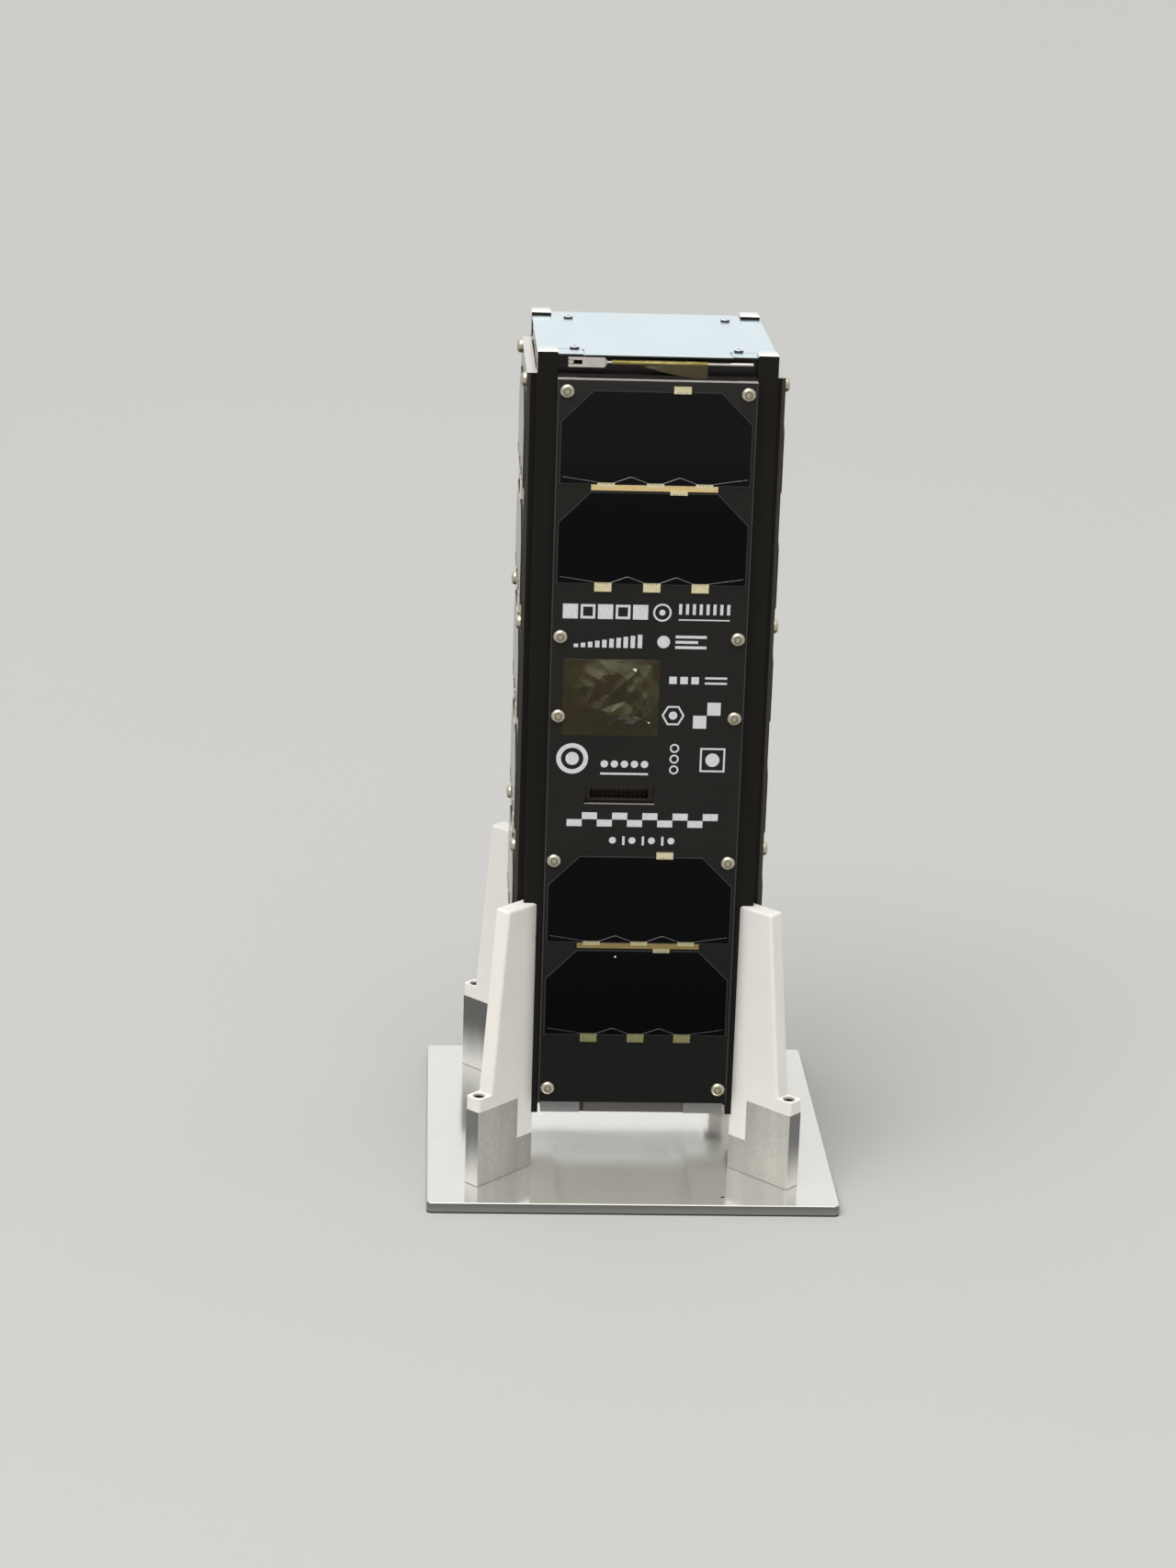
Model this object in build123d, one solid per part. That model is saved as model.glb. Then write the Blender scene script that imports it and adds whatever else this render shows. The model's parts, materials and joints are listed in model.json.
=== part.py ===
from build123d import *
import os

# A three-unit cube satellite that stands upright in a display holder.
# Millimetres, +Z up. The origin is the middle of the base plate's underside, and -Y is the front face.

# Display holder
BASE_SIZE = 180.0
BASE_THICK = 5.0
BASE_CORNER_R = 2.5
BASE_EDGE = 0.35
STRIP_THICK = 8.0
POST_INNER = 66.0
POST_OUTER = 100.0
POST_HEIGHT = 35.0
POST_EDGE = 0.7
NOTCH_LENGTH = 9.4
NOTCH_DEPTH = 19.0
TOWER_TOP = 129.0
TOWER_TOP_OUT = 84.0
TOWER_FOOT_OUT = 92.5
EAR_THICK = 6.0
EAR_HOLE_OUT = 95.9
EAR_HOLE_R = 2.75
EAR_HOLE_DEPTH = 4.3
BASE_SCREW_OUT = 87.0
COUNTERBORE_R = 3.2
COUNTERBORE_DEPTH = 3.0
TOWER_EDGE_R = 1.5
TOWER_TOP_R = 1.2
PIN_HOLE_R = 0.8
PIN_HOLE_DEPTH = 2.0
PIN_HOLE_PLACE = (39.3, -81.5)

# Satellite body
RAIL_FOOT = 30.7
BODY_SIZE = 100.0
BODY_HEIGHT = 340.5
RAIL_WIDTH = 8.5
RAIL_TOP_EDGE = 0.6
RAIL_FOOT_EDGE = 0.2
FLANGE_WIDTH = 8.0
FLANGE_THICK = 2.0
PANEL_LOW = 7.0
PANEL_HIGH = 329.2
BACKING_THICK = 2.5
BOARD_THICK = 1.6
SLOT_LOW = 145.3
SLOT_HIGH = 152.8
SLOT_LEFT = -25.5
SLOT_RIGHT = 4.9
PORT_X = -15.0
PORT_Z = 193.0
PORT_WIDTH = 26.0
PORT_HEIGHT = 18.0

# Solar cells and their gold contacts
CELL_WIDTH = 80.0
CELL_HEIGHT = 39.8
CELL_THICK = 0.6
CELL_STEP = 0.3
CELL_RIM = 0.5
CELL_CLIP = 13.4
TAB_WIDTH = 7.2
TAB_THICK = 0.25
TAB_OVERLAP = 0.9
TOP_TAB_X = 10.2
LOW_TAB_X = (-20.3, 0.3, 20.7)
PAD_HEIGHT = 2.2
LOW_PAD_HEIGHT = 3.0
BAR_WIDTH = 53.0
BAR_HEIGHT = 2.4

# Top deck, antenna bay and foot plate
DECK_TOP = 338.8
DECK_THICK = 0.6
DECK_SLIT = 0.5
DECK_SLIT_DEPTH = 0.4
DECK_TAB_IN = 30.5
DECK_TAB_BACK = -38.0
DECK_TAB_FRONT = -48.6
BAY_HALF = 44.0
BAY_INNER = 30.0
BAY_RIM = 49.5
BAY_RIM_THICK = 1.5
CORNER_GAP = 0.1
FOOT_LOW = 0.4
FOOT_GAP = 1.2
FOOT_RECESS_WIDTH = 46.0
FOOT_RECESS_DEPTH = 0.8
FOOT_GROOVE_X = -22.1
FOOT_GROOVE_WIDTH = 1.8
FOOT_GROOVE_DEPTH = 1.0
FOOT_WINDOW = 62.0
FOOT_FLOOR_LOW = 3.5
STACK_SIZE = 82.0
STACK_HEIGHT = 300.0
PLUG_WIDTH = 27.0
PLUG_HEIGHT = 6.0
PLUG_FACE = 50.6
PLUG_POCKET = 6.0
PLUG_WALL = 0.8

# Antennas
HINGE_X = -36.2
HINGE_Y = -48.0
ROD_Z = 335.7
ROD_R = 0.75
ROD_END = 39.5
FORK_HEIGHT = 4.2
FORK_GAP = 1.8
FORK_WIDTH = 3.2
FORK_ROOT = -31.5
BLOCK_END = -22.3
NOSE_END = -21.2
PIN_R = 0.5
PIN_PLAY = 0.05
LUG_HEIGHT = 1.3
LUG_R = 1.5

# The four corners of the body, by the turn in degrees of the strip that holds each.
CORNERS = (("front_left", 225), ("front_right", 315), ("rear_right", 45), ("rear_left", 135))
# The four faces, by the turn in degrees that brings the front face there.
FACES = (("front", 0), ("right", 90), ("rear", 180), ("left", 270))
# Lower edges of the cells, above the rails' feet. The front face has two pairs of cells.
FRONT_PAIRS = ((242.5, 285.3), (38.9, 82.0))
OTHER_FIRST_CELL = 27.9
OTHER_PITCH = 50.3
OTHER_CELLS = 6

HALF = BODY_SIZE / 2
FACE_HALF = HALF - RAIL_WIDTH
BOARD_FACE = HALF + BACKING_THICK + BOARD_THICK
POST_TOP = BASE_THICK + POST_HEIGHT
NOTCH_OUT = POST_INNER + NOTCH_LENGTH
NOTCH_FLOOR = POST_TOP - NOTCH_DEPTH
EAR_TOP = POST_TOP + EAR_THICK


def save(shape, name):
    """Writes one named piece."""
    export_step(shape, f"parts/{name}.step")


def slab(x_range, y_range, z_range):
    """A plain block between two values on each axis."""
    size = [high - low for low, high in (x_range, y_range, z_range)]
    middle = [(high + low) / 2 for low, high in (x_range, y_range, z_range)]
    return Pos(*middle) * Box(*size)


def rod_between(radius, x, y, z_low, z_high):
    """An upright round bar or hole."""
    return Pos(x, y, (z_low + z_high) / 2) * Cylinder(radius, z_high - z_low)


def strip(points, thick=STRIP_THICK):
    """A plate of even thickness from its outline of distance out from the axis and height."""
    outline = Plane.XZ * make_face(Polyline(*points, close=True))
    return Pos(0, thick / 2, 0) * extrude(outline, thick)


def upright_edges(shape):
    """The edges of a shape that run straight up."""
    return shape.edges().filter_by(Axis.Z)


def edge_at(shape, x, y, z):
    """The edge that passes nearest to a point."""
    return shape.edges().sort_by_distance((x, y, z))[0]


def make_base():
    """The square plate, with sinks below for the heads of the posts' screws."""
    plate = Pos(0, 0, BASE_THICK / 2) * Box(BASE_SIZE, BASE_SIZE, BASE_THICK)
    plate = fillet(upright_edges(plate), BASE_CORNER_R)
    plate = chamfer(plate.faces().sort_by(Axis.Z)[-1].edges(), BASE_EDGE)
    for _, turn in CORNERS:
        plate -= Rot(0, 0, turn) * rod_between(COUNTERBORE_R, BASE_SCREW_OUT, 0, 0, COUNTERBORE_DEPTH)
    return plate - rod_between(PIN_HOLE_R, *PIN_HOLE_PLACE, BASE_THICK - PIN_HOLE_DEPTH, BASE_THICK)


def make_post():
    """An upright aluminium plate on edge, notched at the top of its inner end."""
    post = strip([
        (POST_INNER, BASE_THICK),
        (POST_OUTER, BASE_THICK),
        (POST_OUTER, POST_TOP),
        (NOTCH_OUT, POST_TOP),
        (NOTCH_OUT, NOTCH_FLOOR),
        (POST_INNER, NOTCH_FLOOR),
    ])
    return fillet(upright_edges(post).group_by(Axis.X)[-1], POST_EDGE)


def make_tower():
    """A white guide that steps over the post, takes a rail's corner and has a screwed ear."""
    tower = strip([
        (POST_INNER, NOTCH_FLOOR),
        (NOTCH_OUT, NOTCH_FLOOR),
        (NOTCH_OUT, POST_TOP),
        (POST_OUTER, POST_TOP),
        (POST_OUTER, EAR_TOP),
        (TOWER_FOOT_OUT, EAR_TOP),
        (TOWER_TOP_OUT, TOWER_TOP),
        (POST_INNER, TOWER_TOP),
    ])
    slope_middle = ((TOWER_FOOT_OUT + TOWER_TOP_OUT) / 2, (EAR_TOP + TOWER_TOP) / 2)
    ear_middle = (POST_OUTER, (POST_TOP + EAR_TOP) / 2)
    for x, z in (slope_middle, ear_middle):
        sides = [edge_at(tower, x, side * STRIP_THICK / 2, z) for side in (-1, 1)]
        tower = fillet(sides, TOWER_EDGE_R)
    tower = fillet(tower.faces().sort_by(Axis.Z)[-1].edges().sort_by(Axis.X)[1:], TOWER_TOP_R)
    body_corner = Rot(0, 0, -45) * slab((0, HALF), (0, HALF), (RAIL_FOOT, TOWER_TOP + 1))
    tower -= body_corner
    return tower - rod_between(EAR_HOLE_R, EAR_HOLE_OUT, 0, EAR_TOP - EAR_HOLE_DEPTH, EAR_TOP)


def make_rail():
    """The rail at +X, -Y: a square bar with two flanges that carry the face panels."""
    bar = slab((FACE_HALF, HALF), (-HALF, -FACE_HALF), (0, BODY_HEIGHT))
    bar = chamfer(bar.faces().sort_by(Axis.Z)[0].edges(), RAIL_FOOT_EDGE)
    bar = chamfer(bar.faces().sort_by(Axis.Z)[-1].edges(), RAIL_TOP_EDGE)
    inner = FACE_HALF - FLANGE_WIDTH
    heights = (PANEL_LOW, PANEL_HIGH)
    front_flange = slab((inner, FACE_HALF), (-HALF, FLANGE_THICK - HALF), heights)
    side_flange = slab((HALF - FLANGE_THICK, HALF), (-FACE_HALF, -inner), heights)
    return bar + front_flange + side_flange


def face_sheet(thick, outer):
    """A flat sheet over the front face, whose outer side lies at the given distance."""
    return slab((-FACE_HALF, FACE_HALF), (-outer, thick - outer), (PANEL_LOW, PANEL_HIGH))


def face_openings():
    """The connector slot and the port behind the film, cut right through the front panel."""
    depth = (-BOARD_FACE - 1, -HALF + 1)
    slot = slab((SLOT_LEFT, SLOT_RIGHT), depth, (SLOT_LOW, SLOT_HIGH))
    half_w, half_h = PORT_WIDTH / 2, PORT_HEIGHT / 2
    port = slab((PORT_X - half_w, PORT_X + half_w), depth, (PORT_Z - half_h, PORT_Z + half_h))
    return slot + port


def cell_layer(low, inset, back, thick):
    """One layer of a cell, with clipped upper corners, drawn in by an even inset."""
    half, foot, high = CELL_WIDTH / 2 - inset, low + inset, low + CELL_HEIGHT - inset
    clip = CELL_CLIP - inset * (2 - 2 ** 0.5)
    outline = Polyline(
        (-half, foot),
        (half, foot),
        (half, high - clip),
        (half - clip, high),
        (clip - half, high),
        (-half, high - clip),
        close=True,
    )
    return Pos(0, -BOARD_FACE - back, 0) * extrude(Plane.XZ * make_face(outline), thick)


def make_cell(low):
    """A solar cell with a rim left round its cover glass, its lower edge at the given height."""
    glass_thick = CELL_THICK - CELL_STEP
    return cell_layer(low, 0, 0, CELL_STEP) + cell_layer(low, CELL_RIM, CELL_STEP, glass_thick)


def tab(x, z_range):
    """A thin gold tab that laps over a cell's edge."""
    outer = BOARD_FACE + CELL_THICK
    return slab((x - TAB_WIDTH / 2, x + TAB_WIDTH / 2), (-outer - TAB_THICK, -outer), z_range)


def pad(x, width, z_range):
    """A gold pad on the board, as thick as the cell beside it."""
    return slab((x - width / 2, x + width / 2), (-BOARD_FACE - CELL_THICK, -BOARD_FACE), z_range)


def top_contact(low):
    """The single tab at a cell's upper edge."""
    high = low + CELL_HEIGHT
    base = pad(TOP_TAB_X, TAB_WIDTH, (high, high + PAD_HEIGHT))
    return base + tab(TOP_TAB_X, (high - TAB_OVERLAP, high + PAD_HEIGHT))


def bottom_contacts(low):
    """The three tabs at a cell's lower edge."""
    contacts = []
    for x in LOW_TAB_X:
        base = pad(x, TAB_WIDTH, (low - LOW_PAD_HEIGHT, low))
        contacts.append(base + tab(x, (low - LOW_PAD_HEIGHT, low + TAB_OVERLAP)))
    return contacts


def bar_contact(lower, upper):
    """The gold bar under the upper of two cells, with three tabs up and one down to the lower."""
    low, high = lower + CELL_HEIGHT, upper
    bar_low = high - BAR_HEIGHT
    bar = pad(0, BAR_WIDTH, (bar_low, high))
    for x in LOW_TAB_X:
        bar += tab(x, (high - TAB_OVERLAP, high + TAB_OVERLAP))
    if bar_low > low:
        bar += pad(TOP_TAB_X, TAB_WIDTH, (low, bar_low))
    return bar + tab(TOP_TAB_X, (low - TAB_OVERLAP, low + TAB_OVERLAP))


def make_deck():
    """The flat lid between the rails' upper ends, with a slit round a short tab at each front corner."""
    deck = Pos(0, 0, DECK_TOP - DECK_THICK / 2) * Box(BODY_SIZE, BODY_SIZE, DECK_THICK)
    heights = (DECK_TOP - DECK_SLIT_DEPTH, DECK_TOP)
    for side in (-1, 1):
        across = sorted((side * DECK_TAB_IN, side * FACE_HALF))
        along = sorted((side * DECK_TAB_IN, side * (DECK_TAB_IN + DECK_SLIT)))
        deck -= slab(across, (DECK_TAB_BACK, DECK_TAB_BACK + DECK_SLIT), heights)
        deck -= slab(along, (-HALF, DECK_TAB_BACK), heights)
        deck -= slab(across, (-HALF, DECK_TAB_FRONT), (DECK_TOP - DECK_THICK, DECK_TOP))
    return cut_corners(deck, CORNER_GAP)


def cut_corners(shape, gap):
    """Takes away the squares where the rails stand, with a gap."""
    inner = FACE_HALF - gap
    for x in (-1, 1):
        for y in (-1, 1):
            spans = [sorted((sign * inner, sign * (HALF + 1))) for sign in (x, y)]
            shape -= slab(*spans, (-1, BODY_HEIGHT + 1))
    return shape


def make_bay():
    """The square ring under the lid that carries the antenna hinges, on a rim over the rail flanges."""
    low, high = PANEL_HIGH, DECK_TOP - DECK_THICK
    ring = slab((-BAY_HALF, BAY_HALF), (-BAY_HALF, BAY_HALF), (low, high))
    ring += slab((-BAY_RIM, BAY_RIM), (-BAY_RIM, BAY_RIM), (low, low + BAY_RIM_THICK))
    ring -= slab((-BAY_INNER, BAY_INNER), (-BAY_INNER, BAY_INNER), (low, high))
    return cut_corners(ring, CORNER_GAP)


def make_foot():
    """The grey plate that closes the lower end, with a recess and a groove on each side."""
    plate = slab((-HALF, HALF), (-HALF, HALF), (FOOT_LOW, PANEL_LOW))
    half = FOOT_RECESS_WIDTH / 2
    groove_x = (FOOT_GROOVE_X - FOOT_GROOVE_WIDTH / 2, FOOT_GROOVE_X + FOOT_GROOVE_WIDTH / 2)
    for _, turn in FACES:
        recess = slab((-half, half), (-HALF, FOOT_RECESS_DEPTH - HALF), (FOOT_LOW, PANEL_LOW))
        recess += slab(groove_x, (-HALF, FOOT_GROOVE_DEPTH - HALF), (FOOT_LOW, PANEL_LOW))
        plate -= Rot(0, 0, turn) * recess
    window = FOOT_WINDOW / 2
    plate -= slab((-window, window), (-window, window), (FOOT_LOW, FOOT_FLOOR_LOW))
    return cut_corners(plate, FOOT_GAP)


def make_stack():
    """The plain block of electronics, batteries and payload that stands on the foot plate."""
    half = STACK_SIZE / 2
    return slab((-half, half), (-half, half), (PANEL_LOW, PANEL_LOW + STACK_HEIGHT))


def make_plug():
    """The connector that faces out of the slot, open at the front."""
    middle_x = (SLOT_LEFT + SLOT_RIGHT) / 2
    middle_z = (SLOT_LOW + SLOT_HIGH) / 2
    half_w, half_h = PLUG_WIDTH / 2, PLUG_HEIGHT / 2
    body = slab(
        (middle_x - half_w, middle_x + half_w),
        (-PLUG_FACE, -STACK_SIZE / 2),
        (middle_z - half_h, middle_z + half_h),
    )
    body -= slab(
        (middle_x - half_w + PLUG_WALL, middle_x + half_w - PLUG_WALL),
        (-PLUG_FACE, PLUG_POCKET - PLUG_FACE),
        (middle_z - half_h + PLUG_WALL, middle_z + half_h - PLUG_WALL),
    )
    return body


def make_antenna():
    """The front antenna: a fork with round ends, a block that narrows, and a long thin rod."""
    half_w = FORK_WIDTH / 2
    across = (HINGE_Y - half_w, HINGE_Y + half_w)
    heights = (ROD_Z - FORK_HEIGHT / 2, ROD_Z + FORK_HEIGHT / 2)
    block = slab((HINGE_X, BLOCK_END), across, heights)
    block += rod_between(half_w, HINGE_X, HINGE_Y, *heights)
    gap_heights = (ROD_Z - FORK_GAP / 2, ROD_Z + FORK_GAP / 2)
    block -= slab((HINGE_X - FORK_WIDTH, FORK_ROOT), across, gap_heights)
    block -= rod_between(PIN_R + PIN_PLAY, HINGE_X, HINGE_Y, *heights)
    root = Pos(BLOCK_END, HINGE_Y, ROD_Z) * Rot(0, 90, 0) * Rectangle(FORK_HEIGHT, FORK_WIDTH)
    tip = Pos(NOSE_END, HINGE_Y, ROD_Z) * Rot(0, 90, 0) * Rectangle(2 * ROD_R, 2 * ROD_R)
    rod_middle = Pos((ROD_END + NOSE_END) / 2, HINGE_Y, ROD_Z)
    rod = rod_middle * Rot(0, 90, 0) * Cylinder(ROD_R, ROD_END - NOSE_END)
    return block + loft([root, tip]) + rod


def make_lug():
    """The fixed hinge lug between the fork's prongs, with its pin."""
    heights = (ROD_Z - LUG_HEIGHT / 2, ROD_Z + LUG_HEIGHT / 2)
    pin_heights = (ROD_Z - FORK_HEIGHT / 2, ROD_Z + FORK_HEIGHT / 2)
    lug = slab((HINGE_X - LUG_R, HINGE_X + LUG_R), (HINGE_Y, -BAY_HALF), heights)
    lug += rod_between(LUG_R, HINGE_X, HINGE_Y, *heights)
    return lug + rod_between(PIN_R, HINGE_X, HINGE_Y, *pin_heights)


def group(solids):
    """Several separate solids as one node."""
    return Compound(children=list(solids))


def lift(shape, turn=0):
    """Turns a piece about the satellite's axis and sets it at the rails' height."""
    return Rot(0, 0, turn) * Pos(0, 0, RAIL_FOOT) * shape


def save_stand():
    """The plate, the posts and the guides."""
    save(make_base(), "base_plate")
    post, tower = make_post(), make_tower()
    for name, turn in CORNERS:
        save(Rot(0, 0, turn) * post, f"post_{name}")
        save(Rot(0, 0, turn) * tower, f"tower_{name}")


def save_face(name, turn):
    """The sheets, cells, contacts and antenna of one side face."""
    openings = face_openings()
    backing = face_sheet(BACKING_THICK, HALF + BACKING_THICK)
    board = face_sheet(BOARD_THICK, BOARD_FACE)
    if name == "front":
        runs = FRONT_PAIRS
        backing -= openings
        board -= openings
    else:
        runs = (tuple(OTHER_FIRST_CELL + i * OTHER_PITCH for i in range(OTHER_CELLS)),)
    contacts = []
    for lows in runs:
        contacts += [bar_contact(lower, upper) for lower, upper in zip(lows, lows[1:])]
        contacts += [top_contact(lows[-1]), *bottom_contacts(lows[0])]
    save(lift(backing, turn), f"backing_plate_{name}")
    save(lift(board, turn), f"panel_board_{name}")
    save(lift(group(make_cell(low) for lows in runs for low in lows), turn), f"solar_cells_{name}")
    save(lift(group(contacts), turn), f"cell_contacts_{name}")
    save(lift(make_antenna(), turn), f"antenna_{name}")
    save(lift(make_lug(), turn), f"antenna_hinge_{name}")


def main():
    """Makes and writes every piece."""
    os.makedirs("parts", exist_ok=True)
    save_stand()
    rail = make_rail()
    for name, turn in CORNERS:
        save(lift(rail, turn - 315), f"rail_{name}")
    for name, turn in FACES:
        save_face(name, turn)
    save(lift(make_deck()), "top_deck")
    save(lift(make_bay()), "antenna_bay")
    save(lift(make_foot()), "foot_plate")
    save(lift(make_stack()), "avionics_stack")
    save(lift(make_plug()), "access_connector")


main()
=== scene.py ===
import json
import math
import random

import bmesh
import bpy
from mathutils import Matrix, Vector, noise
from mathutils.geometry import delaunay_2d_cdt


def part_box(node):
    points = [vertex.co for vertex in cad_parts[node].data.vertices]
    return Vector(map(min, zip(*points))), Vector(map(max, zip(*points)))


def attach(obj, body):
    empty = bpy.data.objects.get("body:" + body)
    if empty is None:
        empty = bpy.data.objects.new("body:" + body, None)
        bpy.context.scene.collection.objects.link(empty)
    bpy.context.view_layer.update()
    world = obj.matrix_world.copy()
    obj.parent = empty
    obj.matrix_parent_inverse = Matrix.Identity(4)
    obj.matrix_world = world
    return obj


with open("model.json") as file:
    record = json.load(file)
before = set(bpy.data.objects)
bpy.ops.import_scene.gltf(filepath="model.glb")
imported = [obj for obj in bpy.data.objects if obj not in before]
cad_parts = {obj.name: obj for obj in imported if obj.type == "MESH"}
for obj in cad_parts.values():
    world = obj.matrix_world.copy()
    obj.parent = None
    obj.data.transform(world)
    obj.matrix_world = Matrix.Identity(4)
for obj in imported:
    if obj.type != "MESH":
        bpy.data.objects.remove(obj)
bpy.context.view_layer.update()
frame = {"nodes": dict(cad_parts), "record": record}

# Lengths are in metres, and MM turns the object's own millimetres into them.
MM = 0.001

# Places that the frame gives
RAIL_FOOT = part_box("rail_front_left")[0].z
BOARD_FACE = -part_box("panel_board_front")[0].y
BOARD_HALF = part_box("panel_board_front")[1].x
BOARD_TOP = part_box("panel_board_front")[1].z
CELL_FACE = -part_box("solar_cells_front")[0].y
TAB_FACE = -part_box("cell_contacts_front")[0].y
DECK_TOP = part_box("top_deck")[1].z
BASE_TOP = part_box("base_plate")[1].z
POST_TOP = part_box("post_front_left")[1].z
BODY_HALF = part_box("rail_front_right")[1].x

# The turn about Z, in degrees, that brings a front piece to each face, and a piece on +X to each corner.
FACES = (("front", 0), ("right", 90), ("rear", 180), ("left", 270))
CORNERS = (("front_left", 225), ("front_right", 315), ("rear_right", 45), ("rear_left", 135))

# Solar cells, in millimetres: their lower edges above the rails' feet, on the front and on the other faces
FRONT_CELLS = (38.9, 82.0, 242.5, 285.3)
OTHER_CELLS = tuple(27.9 + 50.3 * i for i in range(6))
CELL_HEIGHT = 39.8

# The tin-plated tabs on each cell, in millimetres across it: three at its lower edge and one at its upper edge
LOW_TABS = (-20.3, 0.3, 20.7)
TOP_TAB = 10.2
TAB_HALF = 3.6

# Panel screws, in millimetres: across the face, and above the rails' feet
SCREW_ACROSS = 37.5
FRONT_SCREWS = (13.7, 119.4, 184.5, 219.4, 324.3)
OTHER_SCREWS = (14.5, 120.7, 221.1, 325.8)

# The middle of the access slot, in millimetres: across the front, and above the rails' feet
SLOT_ACROSS = -10.3
SLOT_UP = 149.05


def turned(degrees):
    """A turn about Z, which is also the satellite's axis."""
    return Matrix.Rotation(math.radians(degrees), 4, "Z")


def on_face(turn, x, z, out=BOARD_FACE):
    """Puts local X across a face, local Y up it and local Z out of it; x and z are in millimetres."""
    place = Matrix.Translation((x * MM, -out, RAIL_FOOT + z * MM))
    return turned(turn) @ place @ Matrix.Rotation(math.radians(90), 4, "X")


# Outlines, as lists of points
def circle(radius, count, x=0.0, y=0.0):
    """A round outline."""
    steps = [math.tau * i / count for i in range(count)]
    return [(x + radius * math.cos(a), y + radius * math.sin(a)) for a in steps]


def rectangle(width, height, x=0.0, y=0.0):
    """A rectangle's outline round its middle."""
    left, right, low, high = x - width / 2, x + width / 2, y - height / 2, y + height / 2
    return [(left, low), (right, low), (right, high), (left, high)]


def hexagon(flats, count):
    """A hexagon's outline by its size over flats, with as many points as a circle of that count."""
    points = []
    for i in range(count):
        angle = math.tau * i / count
        from_flat = (angle + math.pi / 6) % (math.pi / 3) - math.pi / 6
        reach = flats / 2 / math.cos(from_flat)
        points.append((reach * math.cos(angle), reach * math.sin(angle)))
    return points


class Form:
    """One mesh in the making. Each method adds a closed form, placed by a matrix."""

    def __init__(self):
        self.bm = bmesh.new()

    def row(self, outline, height, matrix):
        """The points of an outline at one height."""
        return [self.bm.verts.new(matrix @ Vector((x, y, height))) for x, y in outline]

    def band(self, lower, upper):
        """The faces between two rows of as many points."""
        for i, here in enumerate(lower):
            j = (i + 1) % len(lower)
            self.bm.faces.new((here, lower[j], upper[j], upper[i]))

    def stack(self, rows):
        """A solid through several rows, closed at both ends."""
        for lower, upper in zip(rows, rows[1:]):
            self.band(lower, upper)
        self.bm.faces.new(rows[0][::-1])
        self.bm.faces.new(rows[-1])

    def prism(self, outline, low, high, matrix):
        """An outline drawn out between two heights."""
        self.stack([self.row(outline, height, matrix) for height in (low, high)])

    def hoop(self, outer, inner, low, high, matrix):
        """A flat closed frame between two outlines of as many points."""
        rows = [self.row(outer, low, matrix), self.row(outer, high, matrix)]
        rows += [self.row(inner, high, matrix), self.row(inner, low, matrix)]
        for here, there in zip(rows, rows[1:] + rows[:1]):
            self.band(here, there)

    def wire(self, points, radius, sides=8):
        """A round wire through points, with closed ends."""
        rows = []
        for i, point in enumerate(points):
            along = (points[min(i + 1, len(points) - 1)] - points[max(i - 1, 0)]).normalized()
            turn = along.to_track_quat("Z", "Y").to_matrix().to_4x4()
            rows.append(self.row(circle(radius, sides), 0, Matrix.Translation(point) @ turn))
        self.stack(rows)

    def sheet(self, columns, thick, matrix):
        """A closed thin sheet over a grid of points in millimetres, with its back a thickness behind."""

        def stand(column, behind):
            return [self.bm.verts.new(matrix @ (Vector((x, y + behind, z)) * MM)) for x, y, z in column]

        fronts = [stand(column, 0.0) for column in columns]
        backs = [stand(column, thick) for column in columns]
        last, foot = len(columns) - 1, len(columns[0]) - 1
        for i in range(last):
            for j in range(foot):
                for grid, step in ((fronts, 1), (backs, -1)):
                    corners = (grid[i][j], grid[i + 1][j], grid[i + 1][j + 1], grid[i][j + 1])
                    self.bm.faces.new(corners[::step])
            for j in (0, foot):
                self.bm.faces.new((fronts[i][j], backs[i][j], backs[i + 1][j], fronts[i + 1][j]))
        for i in (0, last):
            for j in range(foot):
                self.bm.faces.new((fronts[i][j], fronts[i][j + 1], backs[i][j + 1], backs[i][j]))

    def piece(self, name, material, body, slot, smooth=35):
        """Makes the object, shades it smooth below an angle in degrees and lets it ride on a body."""
        bmesh.ops.recalc_face_normals(self.bm, faces=self.bm.faces)
        mesh = bpy.data.meshes.new(name)
        self.bm.to_mesh(mesh)
        self.bm.free()
        mesh.materials.append(material)
        mesh.shade_smooth()
        mesh.set_sharp_from_angle(angle=math.radians(smooth))
        piece = bpy.data.objects.new(name, mesh)
        bpy.context.scene.collection.objects.link(piece)
        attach(piece, body)
        return piece


class Socket:
    """A shader socket in a sum: each operator on it adds a Math node."""

    def __init__(self, shader, socket):
        self.shader = shader
        self.socket = socket

    def math(self, operation, *values):
        """A Math node on values or sockets."""
        return self.shader.node("Math", {"operation": operation}, dict(enumerate(values)))

    def __add__(self, other):
        return self.math("ADD", self, other)

    def __radd__(self, other):
        return self.math("ADD", other, self)

    def __sub__(self, other):
        return self.math("SUBTRACT", self, other)

    def __rsub__(self, other):
        return self.math("SUBTRACT", other, self)

    def __mul__(self, other):
        return self.math("MULTIPLY", self, other)

    def __rmul__(self, other):
        return self.math("MULTIPLY", other, self)

    def __gt__(self, other):
        return self.math("GREATER_THAN", self, other)

    def __lt__(self, other):
        return self.math("LESS_THAN", self, other)

    def __mod__(self, other):
        return self.math("FLOORED_MODULO", self, other)

    def __abs__(self):
        return self.math("ABSOLUTE", self)

    def larger(self, other):
        """The larger of two values."""
        return self.math("MAXIMUM", self, other)

    def smaller(self, other):
        """The smaller of two values."""
        return self.math("MINIMUM", self, other)

    def ramp(self, low, high, start=0.0, end=1.0):
        """A start value below low and an end value above high, with a smooth change between them."""
        settings = {"interpolation_type": "SMOOTHSTEP"}
        values = {"Value": self, "From Min": low, "From Max": high, "To Min": start, "To Max": end}
        return self.shader.node("MapRange", settings, values, "Result")


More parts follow.
